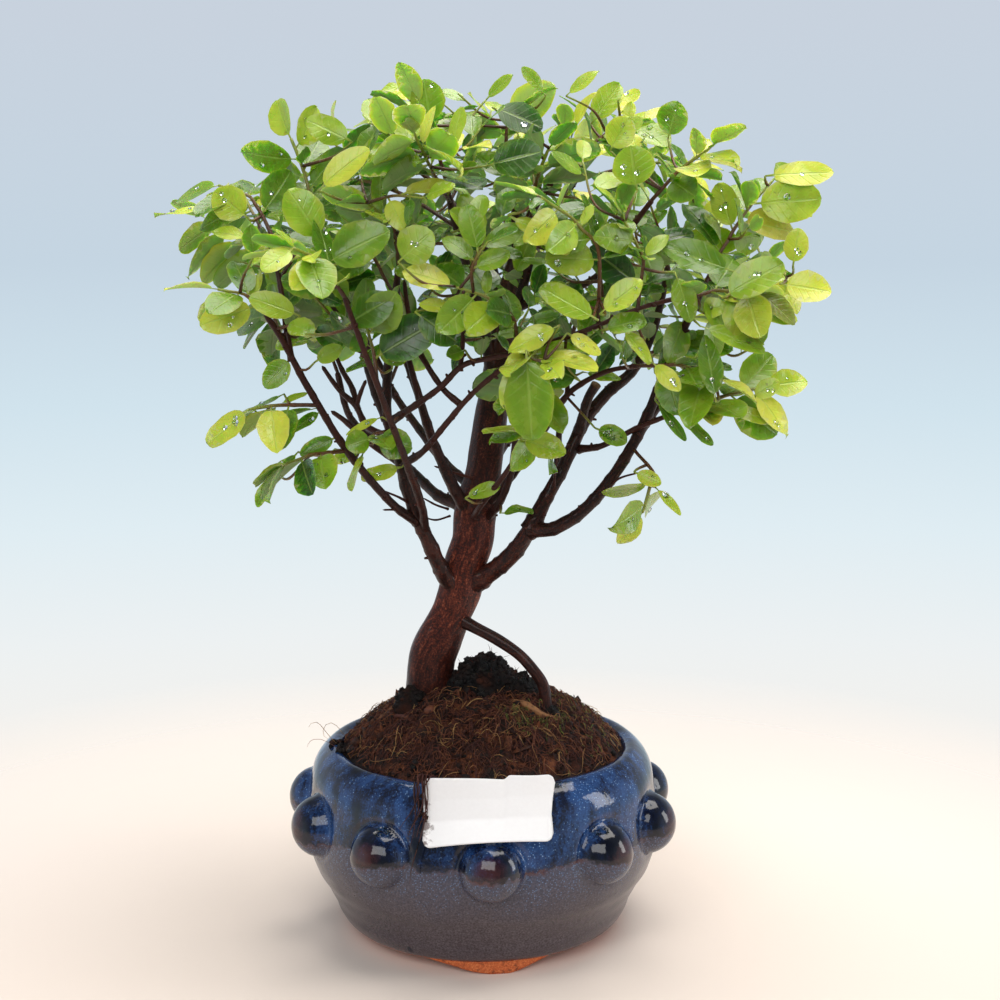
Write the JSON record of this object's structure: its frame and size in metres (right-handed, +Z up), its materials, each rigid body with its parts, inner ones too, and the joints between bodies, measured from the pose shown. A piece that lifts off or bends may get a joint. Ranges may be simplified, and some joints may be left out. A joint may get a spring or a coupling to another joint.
{
  "type": "sweet plum bonsai",
  "caption": "Small bonsai tree with a leaning trunk, an aerial root and a leafy crown, in soil in a round glazed pot with domed bosses and a blank tag.",
  "frame": {"origin": "on the pot's axis, at the plane that its feet stand on", "axes": "+Z up; -Y towards the tag on the pot's front; +X to the right seen from the front"},
  "size_m": [0.2401, 0.1853, 0.3244],
  "materials": {
    "glaze": "glossy cobalt glaze, satin grey-brown below, unglazed terracotta feet",
    "soil": "loose damp peat with roots and fibres",
    "bark": "damp red-brown flaking bark",
    "leaf": "thin waxy leaves, bright to dark green",
    "card": "plain white card"
  },
  "bodies": {
    "root": {"pot": "glaze", "soil": "soil", "tree": "bark", "label": "card", "shoot_01": "leaf", "shoot_02": "leaf", "shoot_03": "leaf", "shoot_04": "leaf", "shoot_05": "leaf", "shoot_06": "leaf", "shoot_07": "leaf", "shoot_08": "leaf", "shoot_09": "leaf", "shoot_10": "leaf", "shoot_11": "leaf", "shoot_12": "leaf", "shoot_13": "leaf", "shoot_14": "leaf", "shoot_15": "leaf", "shoot_16": "leaf", "shoot_17": "leaf", "shoot_18": "leaf", "shoot_19": "leaf", "shoot_20": "leaf", "shoot_21": "leaf", "shoot_22": "leaf", "shoot_23": "leaf", "shoot_24": "leaf", "shoot_25": "leaf", "shoot_26": "leaf", "shoot_27": "leaf", "shoot_28": "leaf", "shoot_29": "leaf", "shoot_30": "leaf", "shoot_31": "leaf", "shoot_32": "leaf", "shoot_33": "leaf", "shoot_34": "leaf", "shoot_35": "leaf", "shoot_36": "leaf", "shoot_37": "leaf", "shoot_38": "leaf", "shoot_39": "leaf", "shoot_40": "leaf", "shoot_41": "leaf", "shoot_42": "leaf", "shoot_43": "leaf", "shoot_44": "leaf", "shoot_45": "leaf", "shoot_46": "leaf", "shoot_47": "leaf", "shoot_48": "leaf", "shoot_49": "leaf", "shoot_50": "leaf", "shoot_51": "leaf", "shoot_52": "leaf"}
  },
  "joints": []
}
